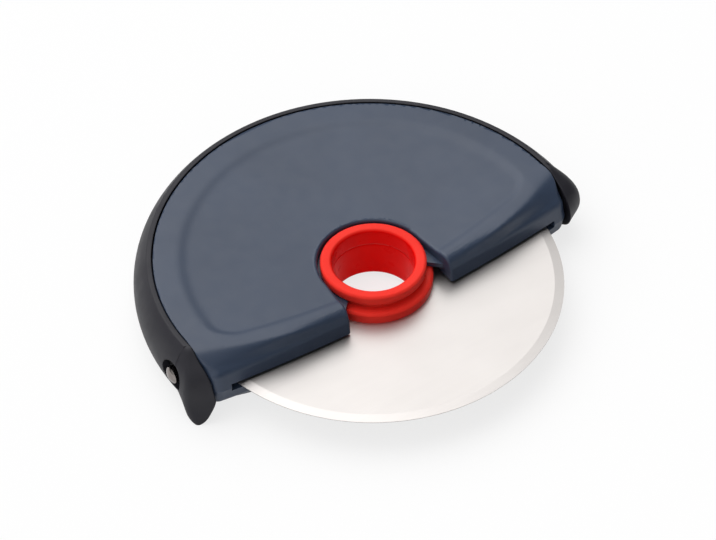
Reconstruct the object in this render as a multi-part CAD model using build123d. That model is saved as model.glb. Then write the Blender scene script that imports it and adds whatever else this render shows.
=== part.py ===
from build123d import *
import math
import os

# Disc pizza cutter. A round blade with a spool shaped hub spins between two clamped shells, and a
# C shaped grip swings on two trunnion pins from the back of the shells round to the front, where
# it guards the blade. Millimetres, +Z up. The origin is the middle of the wheel, X runs along the
# front edge of the shells and the mouth faces -Y.

# Wheel
blade_radius = 50.0
blade_thickness = 0.8
blade_bevel_width = 2.5
blade_edge_thickness = 0.2
bore_radius = 10.9
neck_wall = 1.6
flange_width = 3.2
groove_depth = 1.45
hub_height = 16.0
flange_height = 3.0
flange_chamfer = 0.6
groove_height = 2.0
collar_chamfer = 0.5
spigot_wall = 0.7
spigot_rise = 2.4

# Shells
shell_half_height = 9.5
side_wall = 5.75
swing_centre_y = 2.2
rim_band_width = 7.35
dish_depth = 2.0
slot_half_height = 1.2
blade_tip_clearance = 1.3
locating_peg_radius = 1.5
locating_peg_height = 3.0
locating_peg_count = 4
locating_peg_spread = 84.0

# Front of the shells: how far each line of it stands out at the middle, and how much less it does
# at the shells' sides
front_reach = 13.4
front_setback = 3.5
break_height = 5.0
break_reach = 12.9
break_setback = 4.4
break_rounding = 3.0
crease_reach = 11.5
crease_setback = 10.7
crease_rounding = 3.0

# Mouth and the lips that hold the wheel
mouth_flare_angle = 5.7
mouth_edge_rounding = 0.8
lip_thickness = 1.4
lip_wrap_angle = 229.0
lip_root = 0.8

# Grip: a stiff carrier that turns on the pins, inside a soft skin
grip_thickness = 4.25
grip_top_width = 1.24
grip_edge_rounding = 0.5
carrier_thickness = 2.05
carrier_half_height = 5.6
carrier_end_reach = 2.4

# Ends of the grip: plans of them from the top down, each with its outer corner and its front
# corner. X counts outwards from the grip's wall. The left end is a thumb tab that leans out and
# forward to its lower tip. The lower half of the right end is the mirror image of the upper half.
tab_height_shares = (1.0, 0.94, 0.78, 0.48, 0.1, -0.32, -0.68, -0.86, -0.96, -1.0)
tab_corners = (
    (-4.5, 0.1, -6.1, -1.0),
    (-3.6, -0.4, -6.1, -2.2),
    (-2.8, -1.5, -6.3, -4.6),
    (-1.2, -3.9, -6.4, -8.5),
    (0.2, -5.3, -6.3, -9.9),
    (0.9, -5.4, -5.6, -10.5),
    (1.1, -6.3, -3.9, -10.3),
    (1.0, -7.0, -2.8, -10.0),
    (0.6, -7.6, -1.8, -9.6),
    (0.0, -8.2, -1.1, -9.2),
)
heel_height_shares = (1.0, 0.94, 0.78, 0.48, 0.0)
heel_corners = (
    (-4.4, 0.0, -6.1, -1.0),
    (-3.2, -0.7, -6.1, -2.2),
    (-1.4, -2.6, -6.2, -4.6),
    (0.7, -4.6, -6.2, -8.5),
    (1.5, -5.4, -6.0, -10.3),
)
end_join_y = 1.0
end_join_step = 0.08
end_join_depth = 3.0
end_root_inset = 8.7
tab_rounding = 2.4
heel_rounding = 3.6
end_rounding_share = 0.7
end_edge_rounding = 0.4

# Trunnion pins
pin_radius = 2.3
pin_dome_height = 0.9
pin_seat_wall = 1.7
pin_end_stand = 0.8
recess_radius = 4.3

# Fits
running_clearance = 0.06
seat_clearance = 0.02
peg_end_clearance = 0.5
flange_clearance = 0.3
mouth_clearance = 0.75
swing_gap = 0.4
overrun = 5.0

half_blade = blade_thickness / 2
half_hub = hub_height / 2
neck_radius = bore_radius + neck_wall
flange_radius = neck_radius + flange_width
collar_radius = neck_radius + groove_depth
flange_top = half_blade + flange_height
groove_top = flange_top + groove_height
lip_bottom = flange_top + (groove_height - lip_thickness) / 2
lip_top = lip_bottom + lip_thickness
cavity_radius = blade_radius + blade_tip_clearance
mouth_radius = collar_radius + mouth_clearance
seat_radius = cavity_radius + side_wall
crest_radius = seat_radius - rim_band_width
grip_seat_radius = seat_radius + swing_gap
grip_radius = grip_seat_radius + grip_thickness
carrier_radius = grip_seat_radius + carrier_thickness
pin_inner_x = cavity_radius + pin_seat_wall
pin_outer_x = grip_radius + pin_end_stand
swing_place = Pos(0, swing_centre_y, 0)


def rod(radius, height, centre=(0, 0, 0)):
    """A cylinder that stands on the point given."""
    return Pos(*centre) * Cylinder(radius, height, align=(Align.CENTER, Align.CENTER, Align.MIN))


def profile(*points):
    """Straight runs of a profile that is turned about the Z axis, each point a radius and a height."""
    return Polyline(*[(r, 0, z) for r, z in points])


def turned(outline):
    return revolve(make_face(outline), Axis.Z, 360)


def ball_wall(radius, z):
    """Distance from the Z axis of a ball about the origin at height z."""
    return math.sqrt(radius ** 2 - z ** 2)


def ball_arc(radius, low_z, high_z):
    """Profile arc of a ball between two heights."""
    mid_z = (low_z + high_z) / 2
    points = [(ball_wall(radius, z), 0, z) for z in (low_z, mid_z, high_z)]
    return ThreePointArc(*points)


def circles_at(shape, radius, z):
    """Round edges of a shape that have this radius at this height."""
    found = []
    for edge in shape.edges().filter_by(GeomType.CIRCLE):
        if abs(edge.radius - radius) < seat_clearance and abs(edge.center().Z - z) < seat_clearance:
            found.append(edge)
    return found


def cutting_blade():
    """Flat disc with a double bevel ground round its rim, and a hole for the hub's spigot."""
    bore = bore_radius + spigot_wall + seat_clearance
    bevel_start = blade_radius - blade_bevel_width
    half_edge = blade_edge_thickness / 2
    outline = profile(
        (bore, -half_blade),
        (bevel_start, -half_blade),
        (blade_radius, -half_edge),
        (blade_radius, half_edge),
        (bevel_start, half_blade),
        (bore, half_blade),
        (bore, -half_blade),
    )
    return turned(outline)


def hub_half():
    """Upper half of the hub: flange on the blade, groove for the lips, and collar."""
    outline = profile(
        (bore_radius, half_blade),
        (flange_radius, half_blade),
        (flange_radius, flange_top),
        (neck_radius, flange_top),
        (neck_radius, groove_top),
        (collar_radius, groove_top),
        (collar_radius, half_hub),
        (bore_radius, half_hub),
        (bore_radius, half_blade),
    )
    half = turned(outline)
    rims = circles_at(half, collar_radius, half_hub) + circles_at(half, bore_radius, half_hub)
    half = chamfer(rims, collar_chamfer)
    return chamfer(circles_at(half, flange_radius, flange_top), flange_chamfer)


def hub_upper():
    """The upper half has a socket for the tube of the lower half."""
    return hub_half() - rod(bore_radius + spigot_wall + seat_clearance, spigot_rise, (0, 0, half_blade))


def hub_lower():
    """The lower half carries a tube that passes through the blade into the upper half."""
    spigot_height = blade_thickness + spigot_rise
    spigot = rod(bore_radius + spigot_wall, spigot_height, (0, 0, -half_blade))
    spigot -= rod(bore_radius, spigot_height, (0, 0, -half_blade))
    return mirror(hub_half(), Plane.XY) + spigot


def front_section(z, reach, setback):
    """Plan of all that lies behind the front line at height z."""
    bow_radius = (seat_radius ** 2 + setback ** 2) / (2 * setback)
    half_width = grip_radius + overrun
    back_y = swing_centre_y + half_width
    side_y = bow_radius - reach - math.sqrt(bow_radius ** 2 - half_width ** 2)
    front = ThreePointArc((-half_width, side_y), (0, -reach), (half_width, side_y))
    back = [(half_width, side_y), (half_width, back_y), (-half_width, back_y), (-half_width, side_y)]
    return Pos(0, 0, z) * make_face(front + Polyline(*back))


def front_block():
    """Space behind the two facets of the front, above the plane of the blade."""
    sections = [
        front_section(0, front_reach, front_setback),
        front_section(break_height, break_reach, break_setback),
        front_section(shell_half_height, crease_reach, crease_setback),
    ]
    block = loft(sections, ruled=True)
    level = [e for e in block.edges() if abs(e.center().Z - break_height) < seat_clearance]
    return fillet(ShapeList(level).sort_by(Axis.Y)[0], break_rounding)


def way_out(radius, flare_angle=0):
    """Round seat of the wheel with its way out towards -Y, which may widen to the front."""
    run = front_reach + overrun
    half_front = radius + math.tan(math.radians(flare_angle)) * run
    lane = Polygon((-radius, 0), (-half_front, -run), (half_front, -run), (radius, 0), align=None)
    return Circle(radius) + lane


def lip_plan():
    """Plan of the ledge that enters the hub's groove: a C round the neck with slanted ends."""
    bearing = neck_radius + running_clearance
    end_angle = math.radians((lip_wrap_angle - 180) / 2)
    inner_x = bearing * math.cos(end_angle)
    inner_y = -bearing * math.sin(end_angle)
    run = front_reach + overrun + inner_y
    lead = Polygon(
        (-inner_x, inner_y),
        (-inner_x - run, inner_y - run),
        (inner_x + run, inner_y - run),
        (inner_x, inner_y),
        align=None,
    )
    return way_out(mouth_radius + lip_root, mouth_flare_angle) - Circle(bearing) - lead


def peg_places():
    """Locating pegs stand in the wall behind the blade, evenly spread about the back."""
    radius = (cavity_radius + swing_centre_y + seat_radius) / 2
    step = locating_peg_spread / (locating_peg_count - 1)
    first = (180 - locating_peg_spread) / 2
    places = []
    for index in range(locating_peg_count):
        angle = math.radians(first + step * index)
        places.append((radius * math.cos(angle), radius * math.sin(angle), 0))
    return places


def pin_seat(radius, side, inner_x, outer_x):
    """Rod along X at one end of the swing axis; side is 1 at the right and -1 at the left."""
    length = outer_x - inner_x
    centre_x = side * (inner_x + length / 2)
    return Pos(centre_x, swing_centre_y, 0) * Cylinder(radius, length, rotation=(0, 90, 0))


def front_crest(body):
    """Edges where the top of a shell turns down into its front."""
    side_y = crease_setback - crease_reach
    found = []
    for edge in body.edges():
        box = edge.bounding_box()
        if box.min.Z > break_height and edge.center().Y < 0 and box.max.Y < side_y + seat_clearance:
            found.append(edge)
    return found


def mouth_corners(body):
    """Edges where the mouth's walls meet the front."""
    reach = mouth_radius + overrun / 2
    found = []
    for edge in body.edges():
        box = edge.bounding_box()
        inside = -reach < box.min.X and box.max.X < reach
        if inside and box.max.Y < crease_rounding - crease_reach and box.size.Z > box.size.X:
            found.append(edge)
    return found


def shell_blank():
    """Upper shell before anything is cut: a round dish whose side is part of a ball."""
    top_wall = ball_wall(seat_radius, shell_half_height)
    outline = profile((0, 0), (seat_radius, 0)) + ball_arc(seat_radius, 0, shell_half_height)
    outline += profile(
        (top_wall, shell_half_height),
        (crest_radius, shell_half_height),
        (0, shell_half_height - dish_depth),
        (0, 0),
    )
    body = swing_place * turned(outline) & front_block()
    body = fillet(front_crest(body), crease_rounding)
    mouth = extrude(way_out(mouth_radius, mouth_flare_angle), shell_half_height + 2 * overrun)
    body -= Pos(0, 0, -overrun) * mouth
    return fillet(mouth_corners(body), mouth_edge_rounding)


def shell():
    """Upper shell with lips, blade space and trunnion seats."""
    body = shell_blank() + Pos(0, 0, lip_bottom) * extrude(lip_plan(), lip_thickness)
    body -= Pos(0, 0, -overrun) * extrude(way_out(flange_radius + flange_clearance), lip_bottom + overrun)
    body -= Pos(0, 0, -overrun) * extrude(way_out(cavity_radius), slot_half_height + overrun)
    for side in (-1, 1):
        body -= pin_seat(pin_radius + seat_clearance, side, pin_inner_x, pin_outer_x)
    return body


def upper_shell():
    body = shell()
    for place in peg_places():
        body -= rod(locating_peg_radius + seat_clearance, locating_peg_height + peg_end_clearance, place)
    return body


def lower_shell():
    body = mirror(shell(), Plane.XY)
    for place in peg_places():
        body += rod(locating_peg_radius, locating_peg_height, place)
    return body


def space_behind(y):
    """Everything of the grip's reach that lies behind a plane across the front."""
    reach = grip_radius * 2
    return Pos(0, y, 0) * Box(reach, reach, reach, align=(Align.CENTER, Align.MIN, Align.CENTER))


def carrier_blank():
    """Stiff inner C of the grip, whose ends the skin closes."""
    outline = ball_arc(grip_seat_radius, -carrier_half_height, carrier_half_height)
    outline += ball_arc(carrier_radius, -carrier_half_height, carrier_half_height)
    for z in (-carrier_half_height, carrier_half_height):
        outline += profile((ball_wall(grip_seat_radius, z), z), (ball_wall(carrier_radius, z), z))
    return swing_place * turned(outline) & space_behind(-carrier_end_reach)


def grip_ring():
    """Whole section of the grip, all round: ball seat inside, barrel outside, narrow flat edges."""
    top = shell_half_height
    seat_top = ball_wall(grip_seat_radius, top)
    grip_top_radius = seat_top + grip_top_width
    outline = ball_arc(grip_seat_radius, -top, top)
    outline += ThreePointArc((grip_top_radius, 0, -top), (grip_radius, 0, 0), (grip_top_radius, 0, top))
    for z in (-top, top):
        outline += profile((seat_top, z), (grip_top_radius, z))
    ring = turned(outline)
    edges = circles_at(ring, grip_top_radius, top) + circles_at(ring, grip_top_radius, -top)
    return swing_place * fillet(edges, grip_edge_rounding)


def barrel_wall(z):
    """Distance of the grip's outer wall from the Z axis at height z."""
    bulge = grip_radius - ball_wall(grip_seat_radius, shell_half_height) - grip_top_width
    bow = (shell_half_height ** 2 + bulge ** 2) / (2 * bulge)
    return grip_radius - bow + math.sqrt(bow ** 2 - z ** 2)


def round_turn(before, corner, after, radius):
    """Start, middle and end of the arc that rounds a corner of a plan."""
    back = (before - corner).normalized()
    ahead = (after - corner).normalized()
    half_angle = math.radians(back.get_angle(ahead) / 2)
    reach = radius / math.tan(half_angle)
    depth = radius / math.sin(half_angle) - radius
    inwards = (back + ahead).normalized()
    return corner + back * reach, corner + inwards * depth, corner + ahead * reach


def end_plan(z, corner_out, corner_y, front_out, front_y, rounding):
    """Plan of an end of the grip at height z, drawn for the right, with its corners rounded."""
    wall = barrel_wall(z) - end_join_step
    if abs(z) == shell_half_height:
        wall -= grip_edge_rounding
    root = Vector(grip_radius - end_root_inset, end_join_y + end_join_depth)
    rear = Vector(wall - end_join_depth, end_join_y + end_join_depth)
    side = Vector(wall, end_join_y)
    corner = Vector(corner_out + grip_radius, corner_y)
    front = Vector(front_out + grip_radius, front_y)
    radius = min(rounding, end_rounding_share * (front - corner).length)
    turn = round_turn(side, corner, front, radius)
    edge = round_turn(corner, front, root, end_edge_rounding)
    outline = Polyline(root, rear, side, turn[0]) + ThreePointArc(*turn) + Line(turn[-1], edge[0])
    outline += ThreePointArc(*edge) + Line(edge[-1], root)
    return Pos(0, 0, z) * make_face(outline)


def thumb_tab():
    """Left end of the grip, which leans out and forward towards its lower tip."""
    plans = []
    for share, corners in zip(tab_height_shares, tab_corners):
        plans.append(end_plan(share * shell_half_height, *corners, tab_rounding))
    return mirror(loft(plans), Plane.YZ)


def heel():
    """Right end of the grip, round and a little wider than its wall."""
    rows = list(zip(heel_height_shares, heel_corners))
    rows += [(-share, corners) for share, corners in reversed(rows[:-1])]
    plans = []
    for share, corners in rows:
        plans.append(end_plan(share * shell_half_height, *corners, heel_rounding))
    return loft(plans)


def grip_carrier():
    body = carrier_blank()
    for side in (-1, 1):
        body -= pin_seat(pin_radius + running_clearance, side, pin_inner_x, pin_outer_x)
    return body


def grip_skin():
    body = grip_ring() & space_behind(end_join_y)
    body += thumb_tab()
    body += heel()
    body -= swing_place * Sphere(grip_seat_radius)
    body -= carrier_blank()
    for side in (-1, 1):
        body -= pin_seat(recess_radius, side, seat_radius, grip_radius + overrun)
    return body


def pivot_pin(side):
    """Steel pin with a domed end, seated between the shells and standing out into the grip."""
    length = pin_outer_x - pin_inner_x
    dome_radius = (pin_radius ** 2 + pin_dome_height ** 2) / (2 * pin_dome_height)
    mid_r = pin_radius / 2
    mid_z = length - dome_radius + math.sqrt(dome_radius ** 2 - mid_r ** 2)
    outline = profile((0, length), (0, 0), (pin_radius, 0), (pin_radius, length - pin_dome_height))
    dome_foot = (pin_radius, 0, length - pin_dome_height)
    outline += ThreePointArc(dome_foot, (mid_r, 0, mid_z), (0, 0, length))
    return Pos(side * pin_inner_x, swing_centre_y, 0) * Rot(0, side * 90, 0) * turned(outline)


nodes = {
    "cutting_blade": cutting_blade,
    "hub_upper": hub_upper,
    "hub_lower": hub_lower,
    "upper_shell": upper_shell,
    "lower_shell": lower_shell,
    "grip_carrier": grip_carrier,
    "grip_skin": grip_skin,
}

os.makedirs("parts", exist_ok=True)
for name, make in nodes.items():
    export_step(make(), f"parts/{name}.step")
export_step(pivot_pin(-1), "parts/pivot_pin_left.step")
export_step(pivot_pin(1), "parts/pivot_pin_right.step")
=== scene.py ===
import math

import bmesh
import bpy
from mathutils import Matrix, Vector
from mathutils.geometry import delaunay_2d_cdt


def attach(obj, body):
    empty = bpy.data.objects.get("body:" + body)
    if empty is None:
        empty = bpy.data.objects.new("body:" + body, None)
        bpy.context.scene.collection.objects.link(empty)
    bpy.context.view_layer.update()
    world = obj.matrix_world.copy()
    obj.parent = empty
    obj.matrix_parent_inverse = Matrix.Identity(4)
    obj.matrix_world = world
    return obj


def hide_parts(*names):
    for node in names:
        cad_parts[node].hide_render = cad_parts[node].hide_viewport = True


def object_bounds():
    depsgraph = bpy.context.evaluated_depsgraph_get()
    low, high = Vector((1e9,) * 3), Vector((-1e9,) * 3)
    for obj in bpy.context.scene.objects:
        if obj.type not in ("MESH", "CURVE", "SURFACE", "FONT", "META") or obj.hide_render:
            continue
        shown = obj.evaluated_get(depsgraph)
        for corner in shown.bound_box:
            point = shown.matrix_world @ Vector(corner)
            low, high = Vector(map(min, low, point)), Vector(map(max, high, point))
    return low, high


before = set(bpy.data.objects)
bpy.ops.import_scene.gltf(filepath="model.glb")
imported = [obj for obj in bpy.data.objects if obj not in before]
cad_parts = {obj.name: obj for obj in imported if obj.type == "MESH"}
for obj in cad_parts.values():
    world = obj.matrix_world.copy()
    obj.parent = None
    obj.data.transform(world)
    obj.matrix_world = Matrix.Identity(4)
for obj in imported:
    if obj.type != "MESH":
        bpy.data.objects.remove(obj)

cad_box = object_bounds()
floor_z = cad_box[0].z

# Camera, as fitted to the photograph: metres and degrees
aim = Vector((-0.00098, 0.00572, 0.0))
distance = 1.049
elevation = math.radians(45.66)
heading = math.radians(34.15)
roll = math.radians(-0.69)
focal_px = 3990.0
image_width_px = 716.0
sensor_width_mm = 36.0

# The CAD shell's own form, in metres: its top, its dish and the two lines of its front
shell_top = 0.0095
dish_depth = 0.002
crest_radius = 0.0497
swing_centre_y = 0.0022
crease_reach = 0.0115
crease_bow = 0.1574
break_height = 0.005
break_reach = 0.0129
break_bow = 0.37206

# Soft step round the dish, and how its front line closes in towards the shell's ends
dish_radius = 0.0502
dish_step = 0.00042
step_width = 0.0032
corner_radius = 0.0075
front_inset = 0.0024
front_inset_loss = 0.0014
front_inset_span = 0.052
front_stretch = 1.3

# Outward fall of the rim band, which fades out towards the front
band_fall = 0.00016
band_width = 0.0062
band_power = 1.5
band_fade = (0.001, 0.006)

# The crest is carried forward towards the shell's ends, and a little less right at them
crest_shift = 0.0022
crest_softness = 0.0013
shift_rise = (0.014, 0.036)
shift_loss = 0.45
shift_loss_rise = (0.044, 0.057)
roll_limit_y = 0.012
break_blend = (0.0003, 0.0018)

# How the faces of the shell's top and front are told apart
level_normal = 0.9985
wall_normal = 0.15
front_limit_y = 0.004
front_bottom = 0.0042
dish_bottom = 0.0072

# Fineness of the finished meshes
weld_distance = 0.000002
cut_distance = 0.0000005
join_distance = 0.000001
cuts_across = (-0.0565, 0.057, 0.0011)
cuts_along = (-0.0128, 0.003, 0.0004)
grid_left = -0.058
grid_width = 0.116
grid_front = -0.0125
grid_rows = 130
fine_rows = 36
fine_spacing = 0.0005
coarse_spacing = 0.001
sharp_angle = math.radians(28.0)

# Fuller outer side of the grip's right end
heel_growth = 0.0004
heel_growth_rise = (0.045, 0.060)
heel_growth_fade = (-0.002, 0.032)
heel_round_rise = (0.0574, 0.0617)
heel_flat_rise = (0.0564, 0.0610)
heel_flat_y = 0.001
heel_reach = 0.0011
heel_reach_rise = 0.007
heel_reach_drop = 0.008
heel_start_x = 0.044


def camera_axes():
    """Right, up and back directions of the camera."""
    flat = math.cos(elevation)
    back = Vector((-math.sin(heading) * flat, -math.cos(heading) * flat, math.sin(elevation)))
    level = Vector((math.cos(heading), -math.sin(heading), 0.0))
    rise = back.cross(level)
    right = level * math.cos(roll) + rise * math.sin(roll)
    return right, back.cross(right), back


def studio_axes():
    """Level directions away from the camera and to its right, and straight up."""
    forward = Vector((math.sin(heading), math.cos(heading), 0.0))
    side = Vector((math.cos(heading), -math.sin(heading), 0.0))
    return forward, side, Vector((0.0, 0.0, 1.0))


def make_camera():
    right, up, back = camera_axes()
    data = bpy.data.cameras.new("camera")
    data.sensor_width = sensor_width_mm
    data.lens = focal_px / image_width_px * sensor_width_mm
    data.clip_start = 0.05
    data.clip_end = 20.0
    camera = bpy.data.objects.new("camera", data)
    turn = Matrix((right, up, back)).transposed().to_4x4()
    camera.matrix_world = Matrix.Translation(aim + back * distance) @ turn
    bpy.context.scene.collection.objects.link(camera)
    bpy.context.scene.camera = camera


class Nodes:
    """Short hand for a material's node tree."""

    def __init__(self, tree):
        self.tree = tree
        tree.nodes.clear()

    def add(self, kind, **values):
        node = self.tree.nodes.new("ShaderNode" + kind)
        for name, value in values.items():
            setattr(node, name, value)
        return node

    def join(self, out, into):
        self.tree.links.new(out, into)

    def place(self):
        return self.add("TexCoord").outputs["Object"]

    def noise(self, scale, detail=3.0, roughness=0.5, vector=None):
        node = self.add("TexNoise")
        node.inputs["Scale"].default_value = scale
        node.inputs["Detail"].default_value = detail
        node.inputs["Roughness"].default_value = roughness
        self.join(vector if vector is not None else self.place(), node.inputs["Vector"])
        return node.outputs["Fac"]

    def ramp(self, value, start, full, low=0.0, high=1.0, **values):
        """Carries a value's range from start to full over to the range from low to high."""
        node = self.add("MapRange", **values)
        node.inputs["From Min"].default_value = start
        node.inputs["From Max"].default_value = full
        node.inputs["To Min"].default_value = low
        node.inputs["To Max"].default_value = high
        self.join(value, node.inputs["Value"])
        return node.outputs["Result"]

    def spread(self, noise, low, high):
        """Carries the middle of a noise's range, where nearly all of it lies, over to low and high."""
        return self.ramp(noise, 0.3, 0.7, low, high)

    def blend(self, factor, first, second):
        """Blends two outputs."""
        node = self.add("Mix", data_type="RGBA")
        self.join(factor, node.inputs["Factor"])
        self.join(first, node.inputs["A"])
        self.join(second, node.inputs["B"])
        return node.outputs["Result"]

    def mottle(self, noise, first, second):
        """Blends two colours by a noise."""
        node = self.add("Mix", data_type="RGBA")
        self.join(self.spread(noise, 0.0, 1.0), node.inputs["Factor"])
        node.inputs["A"].default_value = (*first, 1.0)
        node.inputs["B"].default_value = (*second, 1.0)
        return node.outputs["Result"]

    def lobe(self, towards, start, full, low, high):
        """Light of the surround that grows towards one direction."""
        dot = self.add("VectorMath", operation="DOT_PRODUCT")
        self.join(self.add("TexCoord").outputs["Generated"], dot.inputs[0])
        dot.inputs[1].default_value = towards.normalized()
        return self.ramp(dot.outputs["Value"], start, full, low, high, interpolation_type="SMOOTHSTEP")

    def bevel(self, radius, samples):
        node = self.add("Bevel", samples=samples)
        node.inputs["Radius"].default_value = radius
        return node.outputs["Normal"]

    def bump(self, height, strength, depth, under=None):
        node = self.add("Bump")
        node.inputs["Strength"].default_value = strength
        node.inputs["Distance"].default_value = depth
        self.join(height, node.inputs["Height"])
        if under is not None:
            self.join(under, node.inputs["Normal"])
        return node.outputs["Normal"]


def material(name, metallic=0.0, specular=0.5, tint=(1.0, 1.0, 1.0)):
    """An empty Principled material with its uniform values set on the shader itself."""
    made = bpy.data.materials.new(name)
    made.use_nodes = True
    nodes = Nodes(made.node_tree)
    shader = nodes.add("BsdfPrincipled")
    shader.inputs["Metallic"].default_value = metallic
    shader.inputs["Specular IOR Level"].default_value = specular
    shader.inputs["Specular Tint"].default_value = (*tint, 1.0)
    output = nodes.add("OutputMaterial")
    nodes.join(shader.outputs["BSDF"], output.inputs["Surface"])
    return made, nodes, shader


def moulded(name, colours, roughness, grain_scale, grain_depth, edge_radius=0.0, specular=0.5):
    """Moulded plastic or rubber: slightly uneven colour and gloss over a fine spark eroded grain."""
    made, nodes, shader = material(name, specular=specular)
    cloud = nodes.noise(60.0, 4.0)
    nodes.join(nodes.mottle(cloud, *colours), shader.inputs["Base Color"])
    wear = nodes.noise(240.0, 5.0)
    nodes.join(nodes.spread(wear, *roughness), shader.inputs["Roughness"])
    grain = nodes.noise(grain_scale, 2.0, 0.6)
    under = nodes.bevel(edge_radius, 6) if edge_radius else None
    slow = nodes.bump(cloud, 0.05, 0.0004, under)
    nodes.join(nodes.bump(grain, 0.35, grain_depth, slow), shader.inputs["Normal"])
    return made


def red_ring():
    """Glossy red plastic: outside the bore the red is lighter and tinted orange as a painted sheen, and
    the bore is a deeper, darker red as painted shade.
    """
    made, nodes, shader = material("hub_red", specular=0.12, tint=(1.0, 0.4, 0.3))
    cloud = nodes.noise(90.0, 3.0)
    # Painted sheen: the lighter, orange-tinted red outside the bore stands in for highlights on the
    # hub's top faces.
    outside_painted_sheen = nodes.mottle(cloud, (0.90, 0.034, 0.024), (0.94, 0.042, 0.030))
    # Painted shade: the deeper, darker red of the bore stands in for the shade inside it.
    bore_painted_shade = nodes.mottle(cloud, (0.82, 0.001, 0.001), (0.86, 0.002, 0.002))
    flat = nodes.add("VectorMath", operation="MULTIPLY")
    nodes.join(nodes.place(), flat.inputs[0])
    flat.inputs[1].default_value = (1.0, 1.0, 0.0)
    reach = nodes.add("VectorMath", operation="LENGTH")
    nodes.join(flat.outputs["Vector"], reach.inputs[0])
    # Radius that parts the bore's painted shade from the outside's painted sheen.
    painted_light_zone = nodes.ramp(reach.outputs["Value"], 0.0109, 0.0114)
    nodes.join(nodes.blend(painted_light_zone, bore_painted_shade, outside_painted_sheen), shader.inputs["Base Color"])
    nodes.join(nodes.spread(nodes.noise(300.0, 4.0), 0.26, 0.34), shader.inputs["Roughness"])
    edge = nodes.bevel(0.0008, 8)
    nodes.join(nodes.bump(nodes.noise(5200.0), 0.2, 0.000008, edge), shader.inputs["Normal"])
    return made


def brushed_blade():
    """Sheet steel with fine straight brushing."""
    made, nodes, shader = material("blade_steel", metallic=1.0)
    stretch = nodes.add("Mapping")
    stretch.inputs["Scale"].default_value = (40.0, 7600.0, 40.0)
    stretch.inputs["Rotation"].default_value = (0.0, 0.0, math.radians(28.0))
    nodes.join(nodes.place(), stretch.inputs["Vector"])
    lines = nodes.noise(1.0, 4.0, 0.6, stretch.outputs["Vector"])
    colour = nodes.mottle(nodes.noise(45.0, 3.0), (0.52, 0.496, 0.481), (0.545, 0.521, 0.505))
    nodes.join(colour, shader.inputs["Base Color"])
    nodes.join(nodes.spread(lines, 0.36, 0.46), shader.inputs["Roughness"])
    nodes.join(nodes.bump(lines, 0.05, 0.00001), shader.inputs["Normal"])
    return made


def polished_steel():
    """Turned and polished steel, with a little unevenness."""
    made, nodes, shader = material("pin_steel", metallic=1.0)
    cloud = nodes.noise(900.0, 4.0)
    colour = nodes.mottle(cloud, (0.22, 0.195, 0.185), (0.28, 0.255, 0.245))
    nodes.join(colour, shader.inputs["Base Color"])
    nodes.join(nodes.spread(cloud, 0.10, 0.16), shader.inputs["Roughness"])
    nodes.join(nodes.bump(nodes.noise(4000.0), 0.1, 0.00001), shader.inputs["Normal"])
    return made


def eased(value, start, end):
    """0 before the start and 1 after the end, with a soft rise between them."""
    share = min(1.0, max(0.0, (value - start) / (end - start)))
    return share * share * (3.0 - 2.0 * share)


def plain_height(x, y):
    """Height of the CAD shell's top: a level rim band and a shallow cone inside the crest."""
    reach = math.hypot(x, y - swing_centre_y)
    return shell_top - dish_depth * max(0.0, 1.0 - reach / crest_radius)


def dish_drop(x, y):
    """How far the finished surface lies under the plain one at a place of the shell's top."""
    from_front = crease_bow - math.hypot(x, y + crease_reach - crease_bow)
    start = front_inset - front_inset_loss * min(1.0, (x / front_inset_span) ** 2)
    from_edge = dish_radius - math.hypot(x, y - swing_centre_y)
    behind = (from_front - start) * front_stretch
    inside = min(from_edge, behind)
    if from_edge < corner_radius and behind < corner_radius:
        inside = corner_radius - math.hypot(corner_radius - from_edge, corner_radius - behind)
    step = dish_step * eased(inside, 0.0, step_width)
    fall = band_fall * min(1.0, max(0.0, -from_edge) / band_width) ** band_power
    return step + fall * eased(from_front, *band_fade)


def finished_height(x, y, height):
    """Height of the finished surface over the blade's plane, from the CAD surface's height there."""
    drop = dish_drop(x, y)
    plate = plain_height(x, y) - drop
    if y > roll_limit_y:
        return plate
    share = eased(abs(x), *shift_rise)
    crease_y = crease_bow - crease_reach - math.sqrt(crease_bow ** 2 - x ** 2)
    crease_y -= crest_shift * share * (1.0 - shift_loss * eased(abs(x), *shift_loss_rise))
    break_y = break_bow - break_reach - math.sqrt(break_bow ** 2 - x ** 2)
    facet = shell_top - (shell_top - break_height) * (crease_y - y) / (crease_y - break_y)
    rolled = (plate + facet - math.sqrt((plate - facet) ** 2 + crest_softness ** 2)) / 2.0
    share *= eased(height - break_height, *break_blend)
    plain = min(plate, height - drop)
    return plain + (rolled - plain) * share


def lowest(face, up):
    """Least height of a face's corners over the blade's plane."""
    return min(vert.co.z * up for vert in face.verts)


def is_front(face, up):
    """True for a face of the crest or of the front's upper facet."""
    leaning = wall_normal < face.normal.z * up <= level_normal
    return leaning and face.calc_center_median().y < front_limit_y and lowest(face, up) > front_bottom


def is_dish(face, up):
    """True for a face of the dish or its flat rim band."""
    return face.normal.z * up > level_normal and lowest(face, up) > dish_bottom


def copied(name):
    """A copy of a CAD node's mesh that also carries the node's own normals, face corner by corner."""
    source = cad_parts[name].data
    shape = bmesh.new()
    shape.from_mesh(source)
    plain = shape.loops.layers.float_vector.new("cad_normal")
    for face, polygon in zip(shape.faces, source.polygons):
        for loop, number in zip(face.loops, polygon.loop_indices):
            loop[plain] = source.corner_normals[number].vector
    tagged = shape.faces.layers.int.new("reshaped")
    bmesh.ops.remove_doubles(shape, verts=shape.verts, dist=weld_distance)
    shape.normal_update()
    return shape, tagged


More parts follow.
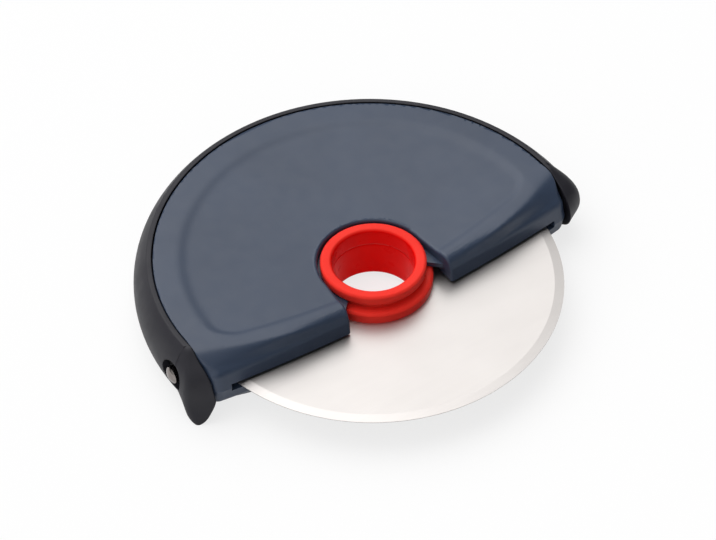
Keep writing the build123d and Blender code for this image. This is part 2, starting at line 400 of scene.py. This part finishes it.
def divide(shape, tagged, axis, start, end, step):
    """Cuts the tagged faces by evenly spaced planes across one axis."""
    normal = [0.0, 0.0, 0.0]
    normal[axis] = 1.0
    at = start
    while at < end:
        crossed = []
        for face in shape.faces:
            along = [vert.co[axis] for vert in face.verts]
            if face[tagged] and min(along) < at < max(along):
                crossed.append(face)
        edges = {edge for face in crossed for edge in face.edges}
        verts = {vert for face in crossed for vert in face.verts}
        place = [at * part for part in normal]
        geometry = [*crossed, *edges, *verts]
        bmesh.ops.bisect_plane(shape, geom=geometry, dist=cut_distance, plane_co=place, plane_no=normal)
        at += step


def grid_places():
    """Places over the shell's plan in staggered rows, closer together near the front."""
    places = []
    for row in range(grid_rows):
        if row < fine_rows:
            spacing = fine_spacing
            y = grid_front + row * fine_spacing
        else:
            spacing = coarse_spacing
            y = grid_front + fine_rows * fine_spacing + (row - fine_rows) * coarse_spacing
        for column in range(int(grid_width / spacing)):
            places.append(Vector((grid_left + (column + row % 2 * 0.5) * spacing, y)))
    return places


def refill_top(shape, tagged, up):
    """Fills the shell's top anew with a fine grid inside its old rim."""
    top = {face for face in shape.faces if is_dish(face, up)}
    rim = [edge for edge in shape.edges if sum(face in top for face in edge.link_faces) == 1]
    corners = sorted({vert for edge in rim for vert in edge.verts}, key=lambda vert: vert.index)
    numbers = {vert: number for number, vert in enumerate(corners)}
    places = [Vector((vert.co.x, vert.co.y)) for vert in corners] + grid_places()
    lines = [(numbers[edge.verts[0]], numbers[edge.verts[1]]) for edge in rim]
    flat, _, faces, kept, _, _ = delaunay_2d_cdt(places, lines, [], 1, join_distance)
    bmesh.ops.delete(shape, geom=list(top), context="FACES_ONLY")
    verts = []
    for number, place in enumerate(flat):
        source = [old for old in kept[number] if old < len(corners)]
        if source:
            verts.append(corners[source[0]])
        else:
            verts.append(shape.verts.new((place.x, place.y, plain_height(place.x, place.y) * up)))
    for face in faces:
        loop = [verts[number] for number in face]
        if up < 0:
            loop.reverse()
        shape.faces.new(loop)[tagged] = 1


def dished(name, up, made):
    """The shell again, with the soft step round its dish, its rim band's fall and its rolled crest."""
    shape, tagged = copied(name)
    for face in shape.faces:
        face[tagged] = int(is_front(face, up))
    divide(shape, tagged, 0, *cuts_across)
    divide(shape, tagged, 1, *cuts_along)
    shape.normal_update()
    refill_top(shape, tagged, up)
    for vert in {vert for face in shape.faces if face[tagged] for vert in face.verts}:
        vert.co.z = up * finished_height(vert.co.x, vert.co.y, vert.co.z * up)
    loose = [vert for vert in shape.verts if not vert.link_faces]
    bmesh.ops.delete(shape, geom=loose, context="VERTS")
    show_instead(name, name + "_dished", shape, made, "housing")


def fuller_heel(made):
    """The grip again, with the outer side of its right end a little fuller than the CAD node's."""
    shape, tagged = copied("grip_skin")
    for face in shape.faces:
        face[tagged] = int(face.calc_center_median().x > heel_start_x)
    for vert in shape.verts:
        if vert.co.y > heel_flat_y:
            outer = eased(math.hypot(vert.co.x, vert.co.y - swing_centre_y), *heel_round_rise)
        else:
            outer = eased(vert.co.x, *heel_flat_rise)
        growth = heel_growth * outer * eased(vert.co.x, *heel_growth_rise)
        vert.co.x += growth * (1.0 - eased(vert.co.y, *heel_growth_fade))
        if vert.co.x > 0.0:
            reach = heel_reach * eased(-vert.co.y, 0.0, heel_reach_rise)
            vert.co.y -= reach * eased(vert.co.z, -heel_reach_drop, 0.0)
    show_instead("grip_skin", "grip_skin_full", shape, made, "grip")


def show_instead(node, name, shape, made, body):
    """Shows a finished shape in the place of a CAD node, with the node's normals where it is kept."""
    mesh = bpy.data.meshes.new(name)
    shape.to_mesh(mesh)
    shape.free()
    mesh.shade_smooth()
    mesh.set_sharp_from_angle(angle=sharp_angle)
    normals = [corner.vector.copy() for corner in mesh.corner_normals]
    plain = mesh.attributes["cad_normal"].data
    reshaped = mesh.attributes["reshaped"].data
    for face in mesh.polygons:
        for number in face.loop_indices:
            if not reshaped[face.index].value and plain[number].vector.length > 0.5:
                normals[number] = plain[number].vector.normalized()
    mesh.normals_split_custom_set(normals)
    mesh.materials.clear()
    mesh.materials.append(made)
    piece = bpy.data.objects.new(name, mesh)
    bpy.context.scene.collection.objects.link(piece)
    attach(piece, body)
    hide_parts(node)


def dress(node, made):
    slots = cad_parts[node].data.materials
    slots.clear()
    slots.append(made)


def make_pieces():
    shell_colours = ((0.027, 0.043, 0.079), (0.032, 0.050, 0.090))
    grip_colours = ((0.013, 0.0125, 0.018), (0.016, 0.0155, 0.022))
    carrier_colours = ((0.009, 0.009, 0.011), (0.012, 0.012, 0.014))
    shell = moulded("shell_blue", shell_colours, (0.36, 0.44), 3400.0, 0.00003)
    grip = moulded("grip_charcoal", grip_colours, (0.46, 0.56), 3400.0, 0.00003, 0.0004, 0.34)
    carrier = moulded("carrier_dark", carrier_colours, (0.42, 0.5), 4200.0, 0.00002, 0.0003)
    hub = red_ring()
    pin = polished_steel()
    dress("upper_shell", shell)
    dress("lower_shell", shell)
    dress("grip_skin", grip)
    dress("grip_carrier", carrier)
    dress("hub_upper", hub)
    dress("hub_lower", hub)
    dress("cutting_blade", brushed_blade())
    dress("pivot_pin_left", pin)
    dress("pivot_pin_right", pin)
    dished("upper_shell", 1, shell)
    dished("lower_shell", -1, shell)
    fuller_heel(grip)


def floor_material():
    """Pale matt floor that looks nearly white to the camera and in the metal, and keeps the shadow."""
    made, nodes, shader = material("floor", specular=0.1)
    colour = nodes.mottle(nodes.noise(3.0), (0.92, 0.92, 0.92), (0.93, 0.93, 0.93))
    nodes.join(colour, shader.inputs["Base Color"])
    shader.inputs["Roughness"].default_value = 0.9
    path = nodes.add("LightPath")
    seen = nodes.add("Math", operation="MULTIPLY")
    nodes.join(path.outputs["Is Camera Ray"], seen.inputs[0])
    seen.inputs[1].default_value = 0.76
    share = nodes.add("Math", operation="MULTIPLY_ADD")
    nodes.join(path.outputs["Is Glossy Ray"], share.inputs[0])
    share.inputs[1].default_value = 0.35
    nodes.join(seen.outputs["Value"], share.inputs[2])
    blend = nodes.add("MixShader")
    nodes.join(share.outputs["Value"], blend.inputs["Fac"])
    nodes.join(shader.outputs["BSDF"], blend.inputs[1])
    nodes.join(nodes.add("Emission").outputs["Emission"], blend.inputs[2])
    output = [node for node in made.node_tree.nodes if node.type == "OUTPUT_MATERIAL"][0]
    nodes.join(blend.outputs["Shader"], output.inputs["Surface"])
    return made


def make_floor():
    half = 3.0
    mesh = bpy.data.meshes.new("floor")
    corners = [(x * half, y * half, floor_z) for x, y in ((-1, -1), (1, -1), (1, 1), (-1, 1))]
    mesh.from_pydata(corners, [], [(0, 1, 2, 3)])
    mesh.materials.append(floor_material())
    floor = bpy.data.objects.new("floor", mesh)
    bpy.context.scene.collection.objects.link(floor)


def make_world():
    """Studio surround: bright behind and above the object, dimmer on the camera's side."""
    world = bpy.data.worlds.new("studio")
    bpy.context.scene.world = world
    world.use_nodes = True
    nodes = Nodes(world.node_tree)
    forward, side, up = studio_axes()
    overhead = nodes.lobe(forward * 0.45 - side * 0.30 + up * 0.84, 0.62, 0.945, 0.14, 2.02)
    left_fill = nodes.lobe(-forward * 0.50 - side * 0.50 + up * 0.70, 0.45, 1.0, 0.0, 0.7)
    both = nodes.add("Math", operation="ADD")
    nodes.join(overhead, both.inputs[0])
    nodes.join(left_fill, both.inputs[1])
    path = nodes.add("LightPath")
    pick = nodes.add("Mix", data_type="FLOAT")
    nodes.join(path.outputs["Is Camera Ray"], pick.inputs["Factor"])
    nodes.join(both.outputs["Value"], pick.inputs["A"])
    pick.inputs["B"].default_value = 1.0
    back = nodes.add("Background")
    back.inputs["Color"].default_value = (1.0, 1.0, 1.0, 1.0)
    nodes.join(pick.outputs["Result"], back.inputs["Strength"])
    out = nodes.add("OutputWorld")
    nodes.join(back.outputs["Background"], out.inputs["Surface"])


def make_key_light():
    """Large soft disc above and behind the object, on its left."""
    forward, side, up = studio_axes()
    data = bpy.data.lights.new("key_light", "AREA")
    data.shape = "DISK"
    data.size = 1.2
    data.energy = 1.8
    light = bpy.data.objects.new("key_light", data)
    light.location = forward * 0.45 - side * 0.35 + up * 1.1
    light.rotation_mode = "QUATERNION"
    light.rotation_quaternion = (-light.location).to_track_quat("-Z", "Y")
    bpy.context.scene.collection.objects.link(light)


make_camera()
make_pieces()
make_floor()
make_world()
make_key_light()
bpy.context.scene.view_settings.view_transform = "Standard"
